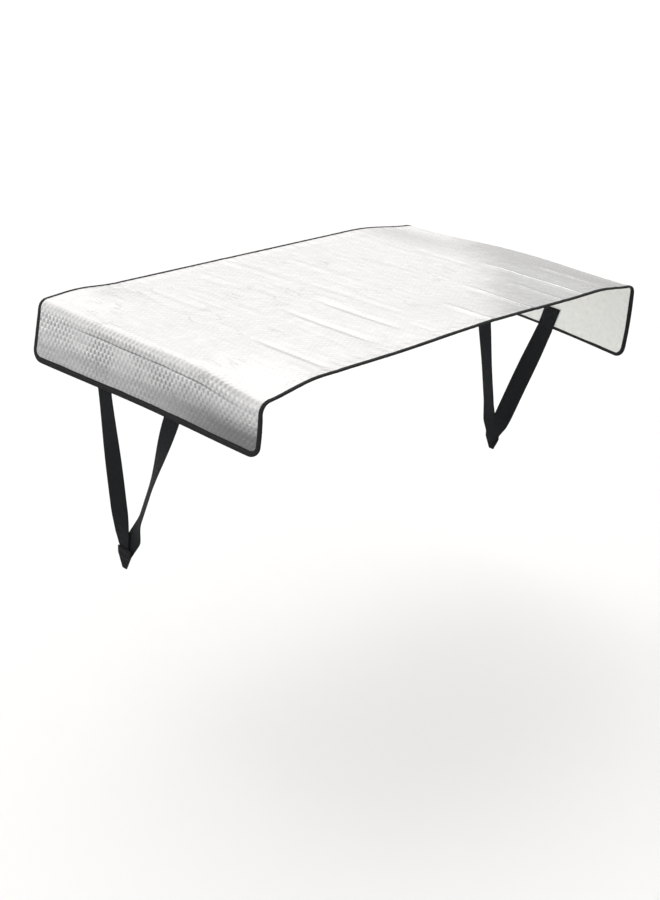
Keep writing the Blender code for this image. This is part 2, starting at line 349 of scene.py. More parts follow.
def ripple(u, t, length, use):
    """Smooth noise between about -1 and 1, as a sum of waves of about the given length."""
    draw = random.Random(SEEDS[use])
    total = np.zeros(np.broadcast(u, t).shape)
    for _ in range(WAVES):
        heading = draw.uniform(0, 2 * math.pi)
        wave = 2 * math.pi / (length * draw.uniform(*WAVE_SPREAD))
        total += np.cos(wave * (u * math.cos(heading) + t * math.sin(heading)) + draw.uniform(0, 2 * math.pi))
    return total / math.sqrt(WAVES)


def back_share(t):
    """0 at the front edge and 1 at the back edge."""
    return (t + HALF) / DEPTH


def fine_creases():
    """Weaker creases between the main ones, scattered over the sheet with a fixed seed."""
    draw = random.Random(SEEDS["creases"])
    front_lead, back_lead = FINE_CREASE_LEADS
    rows = []
    for _ in range(FINE_CREASE_COUNT):
        u_front = draw.uniform(-LEFT_LENGTH + FINE_CREASE_MARGIN, RIGHT_LENGTH - FINE_CREASE_MARGIN)
        start = draw.uniform(-HALF - front_lead, HALF - back_lead)
        end = start + draw.uniform(*FINE_CREASE_LENGTHS)
        height = draw.uniform(*FINE_CREASE_HEIGHTS) * draw.choice((-1, 1))
        u_back = u_front + draw.uniform(-FINE_CREASE_SLANT, FINE_CREASE_SLANT)
        rows.append((u_front, u_back, start, end, draw.uniform(*FINE_CREASE_WIDTHS), height))
    return rows


CREASES = MAIN_CREASES + fine_creases()


def crease_height(u, t):
    """How far the creases lift the sheet off its smooth form."""
    total = np.zeros(np.broadcast(u, t).shape)
    for u_front, u_back, t_start, t_end, width, height in CREASES:
        middle = lerp(u_front, u_back, back_share(t))
        fade = CREASE_FADE * (t_end - t_start)
        ends = smooth((t - t_start) / fade) * smooth((t_end - t) / fade)
        total += height * hump((u - middle) / width) * ends
    return total


def edge_rise(t):
    """How far the top's front and back edges ride up, because the tape's lower lip lies under them."""
    return (GAP + TAPE) * smooth((np.abs(t) - HALF + SIDE_LIP + RISE_RUN) / RISE_RUN)


def smooth_form(u, t):
    """Middle of the sheet at (u, t), before the creases."""
    u, t = np.broadcast_arrays(np.asarray(u, float), np.asarray(t, float))
    along = u - SKEW * t / HALF
    right = along >= 0
    share = back_share(t)
    twist = {side: 1 - (1 - share) ** power for side, power in TWIST_POWER.items()}
    end = {}
    for name in ("crest", "radius", "turn", "curl"):
        shares = twist if name in ("turn", "curl") else dict.fromkeys(ENDS, share)
        sides = {side: lerp(*ENDS[side][name], shares[side]) for side in ENDS}
        end[name] = np.where(right, sides["right"], sides["left"])
    end["turn"] += np.where(right, BOW["right"], BOW["left"]) * hump(2 * share - 1)
    turn = np.radians(end["turn"])
    curl = np.radians(np.where(np.abs(end["curl"]) < LEAST_CURL, LEAST_CURL, end["curl"]))
    radius = end["radius"]
    reach = np.abs(along)
    flat = end["crest"] - radius
    bend = radius * turn
    hang = np.where(right, RIGHT_LENGTH, LEFT_LENGTH) - flat - bend
    angle = np.clip((reach - flat) / radius, 0, turn)
    down = np.maximum(reach - flat - bend, 0)
    tilt = turn + curl * down / hang
    x = np.minimum(reach, flat) + radius * np.sin(angle) + hang / curl * (np.sin(tilt) - np.sin(turn))
    drop = radius * (1 - np.cos(angle)) + hang / curl * (np.cos(turn) - np.cos(tilt))
    x = np.where(right, x, -x)
    lift = edge_rise(t)
    for middle_x, middle_y, reach_x, reach_y, height in SWELLS:
        lift = lift + height * hump((x - middle_x) / reach_x) * hump((t - middle_y) / reach_y)
    return np.stack([x, t, SHEET / 2 + lift * (1 - smooth(down / hang)) - drop], axis=-1)


def normals(u, t):
    """Outward directions of the smooth form."""
    along = smooth_form(u + PROBE, t) - smooth_form(u - PROBE, t)
    across = smooth_form(u, t + PROBE) - smooth_form(u, t - PROBE)
    return unit(np.cross(along, across))


def drape(u, t, n=0.0):
    """Places in the world of points of the flat cloth."""
    u, t = np.broadcast_arrays(np.asarray(u, float), np.asarray(t, float))
    return smooth_form(u, t) + normals(u, t) * (n + crease_height(u, t))[..., None]


def from_end(u):
    """How far inside the nearer hanging edge a place along the cloth lies."""
    return np.where(u < 0, u + LEFT_LENGTH, RIGHT_LENGTH - u)


def half_depth(u):
    """Half the cloth's depth at u, less where the corners are rounded."""
    inside = np.maximum(CORNER_RADIUS - from_end(u), 0.0)
    return HALF - CORNER_RADIUS + np.sqrt(np.maximum(CORNER_RADIUS**2 - inside**2, 0.0))


def from_edge(u, t):
    """How far inside the cloth's nearest edge a point lies."""
    gaps = (from_end(u), HALF - np.abs(t))
    inside = CORNER_RADIUS - np.hypot(*(np.maximum(CORNER_RADIUS - gap, 0) for gap in gaps))
    return np.where(inside < CORNER_RADIUS, inside, np.minimum(*gaps))


def pressed(u):
    """How far the bubbles stand up: pressed rather flat on the top, and full on the hanging ends."""
    start, end = PRESSED_ENDS
    return lerp(PRESSED, 1.0, smooth((np.abs(u) - start) / (end - start)))


def lip_width(u, hem_share):
    """Width of the tape's lip at u, carried over from that of the long sides to that of the hem."""
    start, end = LIP_WIDENS
    side = lerp(SIDE_LIP, FLAP_LIP, smooth((np.abs(u) - start) / (end - start)))
    return lerp(side, np.where(u < 0, END_LIPS["left"], END_LIPS["right"]), hem_share)


def lip_near(u, t):
    """Width of the tape's lip along the cloth's nearest edge."""
    return lip_width(u, smooth((HALF - np.abs(t) - from_end(u)) / LIP_BLEND + 0.5))


def relief(u, t):
    """The foil's own surface: embossed bubbles, flattened in places, and puckers beside the tape."""
    inside = from_edge(u, t)
    clear = smooth((inside - lip_near(u, t)) / CLEAR_RUN)
    row, dot = math.pi * u / DOT_U, 2 * math.pi * t / DOT_T
    bubble = lerp(np.cos(row - dot), np.cos(row + dot), DIAGONAL)
    patches = np.clip(ripple(u, t, PATCH_LENGTH, "patches"), -1, 1)
    crisp = pressed(u) * (1 - PATCHINESS + PATCHINESS * patches)
    crisp = crisp * lerp(1.0, CRUSHED_RELIEF, smooth((u - CRUSHED[0]) / (CRUSHED[1] - CRUSHED[0])))
    swing = 1 - PUCKER_SWING + PUCKER_SWING * ripple(u, t, PUCKER_PITCH, "puckers")
    pucker = PUCKER_HEIGHT * swing * hump((inside - FLAP_LIP - PUCKER_START) / (PUCKER_REACH / 2))
    crumple = CRUMPLE_HEIGHT * pressed(u) ** CRUMPLE_POWER * ripple(u, t, CRUMPLE_LENGTH, "crumples")
    return clear * (DOT_RELIEF * bubble * crisp + pucker + crumple)


def mesh_piece(name, points, faces, flat, finish):
    """A piece from points, faces and each point's place on the flat cloth, kept as the UV map 'cloth'."""
    mesh = bpy.data.meshes.new(name)
    points = np.asarray(points, np.float32).reshape(-1, 3)
    faces = np.asarray(faces, np.int32).reshape(-1, 4)
    mesh.vertices.add(len(points))
    mesh.vertices.foreach_set("co", points.ravel())
    mesh.loops.add(faces.size)
    mesh.loops.foreach_set("vertex_index", faces.ravel())
    mesh.polygons.add(len(faces))
    mesh.polygons.foreach_set("loop_start", np.arange(0, faces.size, 4, dtype=np.int32))
    mesh.update(calc_edges=True)
    layer = mesh.uv_layers.new(name="cloth")
    layer.uv.foreach_set("vector", np.asarray(flat, np.float32).reshape(-1, 2)[faces.ravel()].ravel())
    mesh.shade_smooth()
    mesh.materials.append(finish)
    mesh.validate()
    piece = bpy.data.objects.new(name, mesh)
    bpy.context.scene.collection.objects.link(piece)
    return piece


def tube_faces(rings, around, closed=False):
    """Faces between rings of points, and from the last ring back to the first where closed."""
    i = np.arange(rings if closed else rings - 1)[:, None]
    j = np.arange(around)[None, :]
    after_i, after_j = (i + 1) % rings, (j + 1) % around
    corners = [i * around + j, after_i * around + j, after_i * around + after_j, i * around + after_j]
    return np.stack(np.broadcast_arrays(*corners), axis=-1).reshape(-1, 4)


def skin_faces(rings, around):
    """Faces of a flat closed skin, whose rings run across one face and back along the other."""
    last = (rings - 1) * around
    caps = []
    for near in range(around // 2 - 1):
        far = around - 1 - near
        caps.append((near, near + 1, far - 1, far))
        caps.append((last + near, last + far, last + far - 1, last + near + 1))
    return np.concatenate([tube_faces(rings, around), caps])


def make_foil(finish):
    """The sheet, as one closed skin: outer face, inner face and the thickness all round."""
    corner = CORNER_RADIUS * (1 - np.cos(np.linspace(0, math.pi / 2, CORNER_STEPS)[:-1]))
    middle = np.linspace(-LEFT_LENGTH + CORNER_RADIUS, RIGHT_LENGTH - CORNER_RADIUS, COUNT_U + 1)
    lines = np.concatenate([-LEFT_LENGTH + corner, middle, (RIGHT_LENGTH - corner)[::-1]])
    shares = np.linspace(-1, 1, COUNT_T + 1)
    u, share = np.meshgrid(lines, shares, indexing="ij")
    t = share * half_depth(u)
    height = SHEET / 2 + relief(u, t)
    outer, inner = drape(u, t, height), drape(u, t, -height)
    points = np.concatenate([outer, inner[:, ::-1]], axis=1)
    flat = np.concatenate([np.stack([u, t], -1), np.stack([u, t], -1)[:, ::-1]], axis=1)
    rows, columns = points.shape[:2]
    foil = mesh_piece("foil", points, skin_faces(rows, columns), flat, finish)
    inside = np.broadcast_to(np.arange(columns) >= columns // 2, (rows, columns))
    mark = foil.data.attributes.new("inside", "FLOAT", "POINT")
    mark.data.foreach_set("value", inside.astype(np.float32).ravel())
    return foil


def rim_stretches():
    """Sides and corners of the cloth's outline: length, centre of the corner that it is or starts from,
    the way that a side faces or the angle a corner starts at, and a side's heading."""
    quarter = math.pi / 2 * CORNER_RADIUS
    length, depth = LEFT_LENGTH + RIGHT_LENGTH - 2 * CORNER_RADIUS, 2 * (HALF - CORNER_RADIUS)
    left, right = -LEFT_LENGTH + CORNER_RADIUS, RIGHT_LENGTH - CORNER_RADIUS
    front, back = -HALF + CORNER_RADIUS, HALF - CORNER_RADIUS
    return [
        (length, (left, front), (0, -1), (1, 0)),
        (quarter, (right, front), -90, None),
        (depth, (right, front), (1, 0), (0, 1)),
        (quarter, (right, back), 0, None),
        (length, (right, back), (0, 1), (-1, 0)),
        (quarter, (left, back), 90, None),
        (depth, (left, back), (-1, 0), (0, -1)),
        (quarter, (left, front), 180, None),
    ]


RIM = rim_stretches()
RIM_LENGTH = sum(stretch[0] for stretch in RIM)


def rim(along):
    """Points of the cloth's outline and outward directions there, by the length along it."""
    along = np.mod(along, RIM_LENGTH)
    place, out = np.zeros(along.shape + (2,)), np.zeros(along.shape + (2,))
    start = 0.0
    for run, centre, facing, heading in RIM:
        here = (along >= start) & (along < start + run)
        gone = along[here] - start
        if heading is None:
            angle = math.radians(facing) + gone / CORNER_RADIUS
            ray = np.stack([np.cos(angle), np.sin(angle)], -1)
            place[here] = np.array(centre) + CORNER_RADIUS * ray
        else:
            ray = np.broadcast_to(np.array(facing, float), gone.shape + (2,))
            place[here] = np.array(centre) + CORNER_RADIUS * ray + gone[:, None] * np.array(heading)
        out[here] = ray
        start += run
    return place, out


def rim_lip(place, out):
    """Width of the tape's lip at points of the outline, where the edge faces the way out."""
    return lip_width(place[:, 0], out[:, 0] ** 2)


def tape_profile():
    """Section of the tape: share of the lip's width inside the edge, distance outside it, and height."""
    inner = SHEET / 2 + TAPE_PLAY
    shell = inner + TAPE
    nose = GAP + TAPE
    lips = [(1.0, 0, inner), (0.99, 0, inner + TAPE / 2), (0.94, 0, shell - TAPE_PLAY)]
    top = lips + [(share, 0, shell) for share in (0.80, 0.66, 0.50, 0.34, 0.16)]
    angles = np.linspace(FOLD_START, math.pi - FOLD_START, FOLD_POINTS)
    fold = [(0, nose * math.sin(angle), shell * math.cos(angle)) for angle in angles]
    bottom = [(share, outside, -height) for share, outside, height in reversed(top)]
    inside = [(0.6, 0, -inner), (0, 0.0001, -inner), (0, 0.0001, inner), (0.6, 0, inner)]
    return np.array(top + fold + bottom + inside)


def make_tape(finish):
    """The woven tape, folded over the edge all the way round, a little uneven as sewn."""
    along = np.linspace(0, RIM_LENGTH, round(RIM_LENGTH / TAPE_STEP), endpoint=False)
    place, out = rim(along)
    share, outside, height = tape_profile().T
    wander = WANDER * ripple(along, 0.0, WANDER_LENGTH, "wander")
    bulge = np.maximum(BULGE * ripple(along, 0.0, BULGE_LENGTH, "bulges"), DEEPEST_BULGE)[:, None]
    reach = outside - share * (rim_lip(place, out) + wander)[:, None]
    n = height + np.sign(height) * bulge * (np.abs(height) > SHEET / 2 + TAPE / 2)
    flat = place[:, None, :] + out[:, None, :] * reach[..., None]
    points = drape(flat[..., 0], flat[..., 1], n)
    rows, columns = points.shape[:2]
    steps = np.hypot(np.diff(outside - share * FLAP_LIP), np.diff(height))
    lengths = np.concatenate([[0], np.cumsum(steps)])
    cloth = np.stack(np.broadcast_arrays(along[:, None], lengths[None, :]), -1)
    faces = tube_faces(rows, columns, closed=True)[:, ::-1]
    return mesh_piece("edge_tape", points, faces, cloth, finish)


def make_threads(name, starts, ends, ups, finish):
    """Stitches, each a short thread that arches over the cloth from one needle hole to the next."""
    starts, ends, ups = (np.asarray(values, float) for values in (starts, ends, ups))
    run = unit(ends - starts)
    side = unit(np.cross(run, ups))
    sections, swell = (0.0, 0.18, 0.5, 0.82, 1.0), (0.45, 0.95, 1.0, 0.95, 0.45)
    lift = (-0.6, 0.25, 0.55, 0.25, -0.6)
    angles = np.arange(THREAD_SIDES) * 2 * math.pi / THREAD_SIDES
    points = []
    for share, wide, high in zip(sections, swell, lift):
        middle = lerp(starts, ends, share) + ups * THREAD_RADIUS * high
        for angle in angles:
            points.append(middle + THREAD_RADIUS * wide * (side * math.cos(angle) + ups * math.sin(angle)))
    count, each = len(starts), len(points)
    points = np.stack(points, axis=1).reshape(-1, 3)
    one = tube_faces(len(sections), THREAD_SIDES)
    faces = (one[None] + np.arange(count)[:, None, None] * each).reshape(-1, 4)
    piece = mesh_piece(name, points, faces, points[:, :2], finish)
    fill_ends(piece)
    return piece


def fill_ends(piece):
    """Close the open ends of every thread of a piece."""
    shape = bmesh.new()
    shape.from_mesh(piece.data)
    bmesh.ops.holes_fill(shape, edges=[edge for edge in shape.edges if edge.is_boundary], sides=THREAD_SIDES)
    bmesh.ops.recalc_face_normals(shape, faces=shape.faces)
    shape.to_mesh(piece.data)
    shape.free()


def seam_places(face):
    """Needle holes of the seam that runs along the middle of one of the tape's lips."""
    count = round(RIM_LENGTH / STITCH_PITCH)
    along = np.arange(count) * RIM_LENGTH / count
    height = face * (SHEET / 2 + TAPE + THREAD_REST)
    ends = []
    for shift in (0.0, STITCH_LENGTH):
        place, out = rim(along + shift)
        flat = place - out * (rim_lip(place, out) * SEAM_SHARE)[:, None]
        ends.append(drape(flat[:, 0], flat[:, 1], height))
    up = normals(flat[:, 0], flat[:, 1]) * face
    return ends[0], ends[1], up


def make_seam(finish):
    """The seam that holds the tape, seen on both faces."""
    outer, inner = seam_places(1), seam_places(-1)
    starts, ends, ups = (np.concatenate(pair) for pair in zip(outer, inner))
    return make_threads("edge_stitches", starts, ends, ups, finish)


def sewn_line(side, t, below):
    """Middle of a strap behind the hanging end, from its sewn top down to the cloth's edge."""
    u = INWARD[side] * (below - LENGTHS[side])
    over_lip = smooth((END_LIPS[side] + JOGGLE_START - below) / JOGGLE_LENGTH)
    n = -(SHEET / 2 + SEAT + WEBBING / 2) - over_lip * (GAP + TAPE)
    return smooth_form(u, t) + normals(u, t) * np.asarray(n)[..., None]


def strap_point(side):
    """The point of the V, where both legs end."""
    return sewn_line(side, POINT_T, 0.0) + np.array([INWARD[side] * POINT_INSET, 0, -POINT_DROP])


def ribbon(name, middles, wides, ribs, finish):
    """Webbing along a row of middles, each with the vector from there to its right edge."""
    across = np.cos(np.linspace(math.pi, 0, STRAP_COLUMNS + 1))
    rib = ribs * np.cos(across * RIB_COUNT * math.pi) * (1 - across**6)
    half = WEBBING / 2 * (1 - EDGE_THINNING * across**10) + rib
    run = np.gradient(middles, axis=0)
    up = unit(np.cross(wides, run))
    face = middles[:, None, :] + wides[:, None, :] * across[None, :, None]
    front = face + up[:, None, :] * half[None, :, None]
    back = face - up[:, None, :] * half[None, :, None]
    points = np.concatenate([front, back[:, ::-1]], axis=1)
    rows, columns = points.shape[:2]
    gone = np.concatenate([[0], np.cumsum(np.linalg.norm(np.diff(middles, axis=0), axis=1))])
    width = np.linalg.norm(wides, axis=1)
    wide = np.concatenate([across, across[::-1]])
    flat = np.stack([np.broadcast_to(gone[:, None], (rows, columns)), width[:, None] * wide[None, :]], -1)
    return mesh_piece(name, points, skin_faces(rows, columns), flat, finish)


def turned(share):
    """How much of its turn a leg has at a share of the way down to the point."""
    start, end = TURNS_BACK
    return smooth(share / TURNED) * (1 - smooth((share - start) / (end - start)))


def leg_slope(place):
    """How far back a leg runs for each metre down, and its width along the depth."""
    lean = (POINT_T - LEG_TOPS[place]) / POINT_DROP
    return lean, STRAP_WIDTH * math.sqrt(1 + lean * lean)


def leg_path(side, place):
    """Middles and half widths of one webbing leg, from its sewn top down to the point of the V."""
    inward = INWARD[side]
    lean, width = leg_slope(place)
    below = SEWN_LENGTH * (1 - np.linspace(0, 1, SEWN_STEPS + 1))
    t = LEG_TOPS[place] - lean * below
    middles = [sewn_line(side, t, below)]
    edges = [sewn_line(side, t + width / 2, below) - middles[0]]
    top = sewn_line(side, LEG_TOPS[place], 0.0)
    point = strap_point(side)
    layer = (WEBBING + SEAT) * inward * (place == "front")
    share = (np.arange(STRAP_STEPS) + 1) / STRAP_STEPS
    straight = lerp(top, point, share[:, None])
    straight[:, 0] += layer * smooth(share / CROSSING)
    taper_from = 1 - TAPER_HEIGHT / POINT_DROP
    half = width / 2 * (1 - TAPER * np.maximum(share - taper_from, 0) / (1 - taper_from))
    middles.append(straight)
    turn = math.radians(LEG_TURNS[place]) * turned(share)
    edges.append(np.stack([inward * half * np.sin(turn), half * np.cos(turn), np.zeros_like(half)], -1))
    return np.concatenate(middles), np.concatenate(edges)


def make_leg(side, place, finish):
    """One leg of ribbed webbing."""
    middles, wides = leg_path(side, place)
    return ribbon(f"webbing_{side}_{place}", middles, wides, LEG_RIBS, finish)


def tab_place(side):
    """The point of the V, and how far the tab over it leans along the length for each metre up."""
    point = strap_point(side)
    upwards = sewn_line(side, LEG_TOPS["rear"], 0.0) - point
    return point, upwards[0] / upwards[2]


def make_tab(side, finish):
    """The tab sewn over the crossing of the two legs, pointed at the bottom."""
    point, lean = tab_place(side)
    heights, halves = zip(*reversed(TIP_OUTLINE))
    levels = np.linspace(heights[0], heights[-1], TAB_STEPS)
    half = np.interp(levels, heights, halves)
    out = -INWARD[side] * (WEBBING + GAP)
    middles = np.stack([point + np.array([lean * z + out, 0, z]) for z in levels])
    wides = np.stack([np.zeros_like(half), half, np.zeros_like(half)], -1)
    return ribbon(f"tab_{side}", middles, wides, TAB_RIBS, finish)


def stitch_row(start, end):
    """Starts and ends of a box's stitches along one straight row."""
    start, end = np.asarray(start, float), np.asarray(end, float)
    count = max(round(float(np.linalg.norm(end - start)) / BOX_PITCH), 1)
    first = np.arange(count)[:, None] / count
    return lerp(start, end, first), lerp(start, end, first + BOX_STITCH_SHARE / count)


def box_rows():
    """Rows of the box of stitches that holds a leg's sewn top, as pairs of (below, across)."""
    corners = [(BOX_LOW, -BOX_REACH), (BOX_LOW, BOX_REACH), (BOX_HIGH, BOX_REACH), (BOX_HIGH, -BOX_REACH)]
    rows = list(zip(corners, corners[1:] + corners[:1]))
    return rows + [(corners[0], corners[2]), (corners[1], corners[3])]


def box_stitches(side, place, face):
    """Stitches of one box, on the webbing (face -1) or on the foil outside it (face 1)."""
    lean, width = leg_slope(place)
    found = ([], [], [])
    for start, end in box_rows():
        flat = []
        for below, across in (start, end):
            flat.append((below, LEG_TOPS[place] - lean * below + width * across))
        for first, last in zip(*stitch_row(*flat)):
            ends = []
            for below, t in (first, last):
                u = INWARD[side] * (below - LENGTHS[side])
                up = normals(u, t) * face
                if face > 0:
                    at = drape(u, t, SHEET / 2 + FOIL_THREAD_REST)
                else:
                    at = sewn_line(side, t, below) + up * (WEBBING / 2 + THREAD_REST)
                ends.append(at)
            for column, value in zip(found, (*ends, up)):
                column.append(value)
    return found


def tack_stitches(side):
    """Zigzag of close stitches across the tab, outside it, through both legs."""
    point, lean = tab_place(side)
    out = -INWARD[side] * (WEBBING + GAP + WEBBING / 2 + THREAD_REST)
    found = ([], [], [])
    for level in TACK_LEVELS:
        for k in range(round(TACK_SPAN / TACK_PITCH)):
            rise = TACK_RISE if k % 2 else -TACK_RISE
            for column, step, z in ((found[0], k, level + rise), (found[1], k + 1, level - rise)):
                y = step * TACK_PITCH - TACK_SPAN / 2
                column.append(point + np.array([lean * z + out, y, z]))
            found[2].append((-INWARD[side], 0, 0))
    return found


def make_strap_seams(side, finish, foil_thread):
    """Boxes of stitches at the legs' tops, on both faces, and the tacks on the tab."""
    dark = ([], [], [])
    pale = ([], [], [])
    for place in LEG_TOPS:
        for held, face in ((dark, -1), (pale, 1)):
            for column, values in zip(held, box_stitches(side, place, face)):
                column.extend(values)
    for column, values in zip(dark, tack_stitches(side)):
        column.extend(values)
    return (
        make_threads(f"strap_stitches_{side}", *dark, finish),
        make_threads(f"foil_stitches_{side}", *pale, foil_thread),
    )


def new_material(name):
    """An empty Principled material with its node tree and shader."""
    finish = bpy.data.materials.new(name)
    finish.use_nodes = True
    return finish, finish.node_tree, finish.node_tree.nodes["Principled BSDF"]


def put(tree, kind, inputs=(), **settings):
    """A new node with its settings, whose inputs are numbers, colours or other nodes' sockets."""
    node = tree.nodes.new(kind)
    for name, value in settings.items():
        setattr(node, name, value)
    for key, value in dict(inputs).items():
        if isinstance(value, bpy.types.NodeSocket):
            tree.links.new(value, node.inputs[key])
        else:
            node.inputs[key].default_value = value
    return node


def math_node(tree, operation, *values):
    return put(tree, "ShaderNodeMath", enumerate(values), operation=operation).outputs[0]


def map_range(tree, value, low, high, to_low=0.0, to_high=1.0):
    """The value carried from one range to another, softly at both ends."""
    inputs = {"Value": value, "From Min": low, "From Max": high, "To Min": to_low, "To Max": to_high}
    return put(tree, "ShaderNodeMapRange", inputs, interpolation_type="SMOOTHSTEP").outputs["Result"]


def flat_place(tree):
    """The two coordinates of the flat cloth."""
    cloth = put(tree, "ShaderNodeUVMap", uv_map="cloth").outputs["UV"]
    split = put(tree, "ShaderNodeSeparateXYZ", {"Vector": cloth})
    return cloth, split.outputs["X"], split.outputs["Y"]


def noise(tree, vector, scale, detail=3.0, roughness=0.5, stretch=None):
    """Noise on the flat cloth, by features a metre, stretched along one way where that is given."""
    if stretch:
        vector = put(
            tree, "ShaderNodeVectorMath", {0: vector, 1: stretch}, operation="MULTIPLY"
        ).outputs["Vector"]
    inputs = {"Vector": vector, "Scale": scale, "Detail": detail, "Roughness": roughness}
    return put(tree, "ShaderNodeTexNoise", inputs).outputs["Fac"]


def mix_colors(tree, share, first, second):
    """A mix of two colours by a share."""
    node = tree.nodes.new("ShaderNodeMix")
    node.data_type = "RGBA"
    tree.links.new(share, node.inputs["Factor"])
    for socket, value in ((node.inputs[6], first), (node.inputs[7], second)):
        if isinstance(value, bpy.types.NodeSocket):
            tree.links.new(value, socket)
        else:
            socket.default_value = value
    return node.outputs[2]


def product(tree, first, *others):
    """Shares multiplied with each other."""
    for other in others:
        first = math_node(tree, "MULTIPLY", first, other)
    return first


def weighted_sum(tree, total, *terms):
    """A total to which values are added, each by its weight."""
    for value, weight in terms:
        total = math_node(tree, "MULTIPLY_ADD", value, weight, total)
    return total


def bump(tree, height, distance):
    """Normals of a fine relief, from its height as a share of the distance."""
    inputs = {"Height": height, "Distance": distance, "Strength": 1.0}
    return put(tree, "ShaderNodeBump", inputs).outputs["Normal"]


def foil_creases(tree, cloth):
    """Thin broken creases, mostly along the depth, as a share from 0 to 1."""
    field = noise(tree, cloth, 11.0, 3.0, 0.45, stretch=(4.2, 0.75, 1.0))
    off = math_node(tree, "ABSOLUTE", math_node(tree, "SUBTRACT", field, 0.5))
    line = map_range(tree, off, 0.0, 0.011, 1.0, 0.0)
    here = map_range(tree, noise(tree, cloth, 9.0, 2.0), 0.50, 0.60)
    return product(tree, line, here)


def foil_line(tree, u, t, line):
    """One thin line along a crease, as a share from 0 to 1."""
    u_front, u_back, t_start, t_end, half_width, _ = line
    middle = math_node(tree, "MULTIPLY_ADD", t, (u_back - u_front) / DEPTH, (u_front + u_back) / 2)
    off = math_node(tree, "ABSOLUTE", math_node(tree, "SUBTRACT", u, middle))
    share = map_range(tree, off, 0.0, half_width, 1.0, 0.0)
    fade = CREASE_FADE * (t_end - t_start)
    start = map_range(tree, t, t_start, t_start + fade)
    end = map_range(tree, t, t_end - fade, t_end, 1.0, 0.0)
    return product(tree, share, start, end)


def foil_lines(tree, cloth, u, t, outside):
    """The pale lines of painted highlight and the dark lines of painted shade, each set as a share from 0 to
    1.
    """
    sway = math_node(tree, "SUBTRACT", noise(tree, cloth, 14.0, 3.0), 0.5)
    u = math_node(tree, "MULTIPLY_ADD", sway, 0.005, u)
    broken = map_range(tree, noise(tree, cloth, 38.0, 3.0), 0.34, 0.50, 0.55, 1.0)
    totals = {"pale": 0.0, "dark": 0.0}
    for line in LINES:
        kind = "pale" if line[-1] > 0 else "dark"
        totals[kind] = weighted_sum(tree, totals[kind], (foil_line(tree, u, t, line), abs(line[-1])))
    return [product(tree, total, broken, outside) for total in totals.values()]


def foil_bubbles(tree, u, t):
    """The staggered bubbles, drawn out along one diagonal, as a share from 0 between them to 1."""
    row = math_node(tree, "MULTIPLY", u, math.pi / DOT_U)
    dot = math_node(tree, "MULTIPLY", t, 2 * math.pi / DOT_T)
    strong = math_node(tree, "COSINE", math_node(tree, "ADD", row, dot))
    weak = math_node(tree, "COSINE", math_node(tree, "SUBTRACT", row, dot))
    weak = math_node(tree, "MULTIPLY", weak, 1 - DIAGONAL)
    return map_range(tree, weighted_sum(tree, weak, (strong, DIAGONAL)), -0.55, 0.55)


def foil_crispness(tree, cloth, u, outside):
    """How sharply the bubbles stand out, as a share from 0 to 1."""
    patchy = map_range(tree, noise(tree, cloth, 16.0, 2.0), 0.38, 0.62, 0.45, 1.0)
    rising = map_range(tree, math_node(tree, "ABSOLUTE", u), *PRESSED_ENDS, PRESSED, 1.0)
    left = map_range(tree, u, *CRUSHED, 1.0, CRUSHED_RELIEF)
    return product(tree, patchy, rising, outside, left)


def foil_height(tree, cloth, u, marks):
    """Fine relief: bubbles, crumples and streaks, calmer on the top, grain, creases and lines."""
    calm = map_range(tree, math_node(tree, "ABSOLUTE", u), *PRESSED_ENDS, CALM, 1.0)
    terms = (
        (product(tree, marks["crumple"], calm), 0.7),
        (product(tree, marks["streak"], calm), 0.5),
        (noise(tree, cloth, 900.0, 2.0), 0.05),
        (marks["crease"], 0.35),
        (marks["ridge highlight"], 0.6),
        (marks["trough shade"], -0.8),
    )
    return weighted_sum(tree, product(tree, marks["bubble"], marks["crisp"]), *terms)


def foil_left_shade(tree, u, t):
    """How much painted shade darkens the lower part of the left end, from 0 to 1."""
    low = map_range(tree, u, *CRUSHED, 0.0, HEM_SHADE)
    along = map_range(tree, t, *LEFT_SHADE_T, *LEFT_SHADE_SHARES)
    return weighted_sum(tree, low, (along, map_range(tree, u, *LEFT_SHADE_U)))


def foil_right_shade(tree, cloth, u, t):
    """How far painted shade darkens the foil on the right end, from 0 to 1, with a patchy border."""
    patchy = math_node(tree, "SUBTRACT", noise(tree, cloth, 30.0, 4.0, 0.6), 0.5)
    past = weighted_sum(tree, math_node(tree, "SUBTRACT", u, t), (patchy, 0.10))
    return map_range(tree, past, *RIGHT_SHADE, 0.0, 0.95)


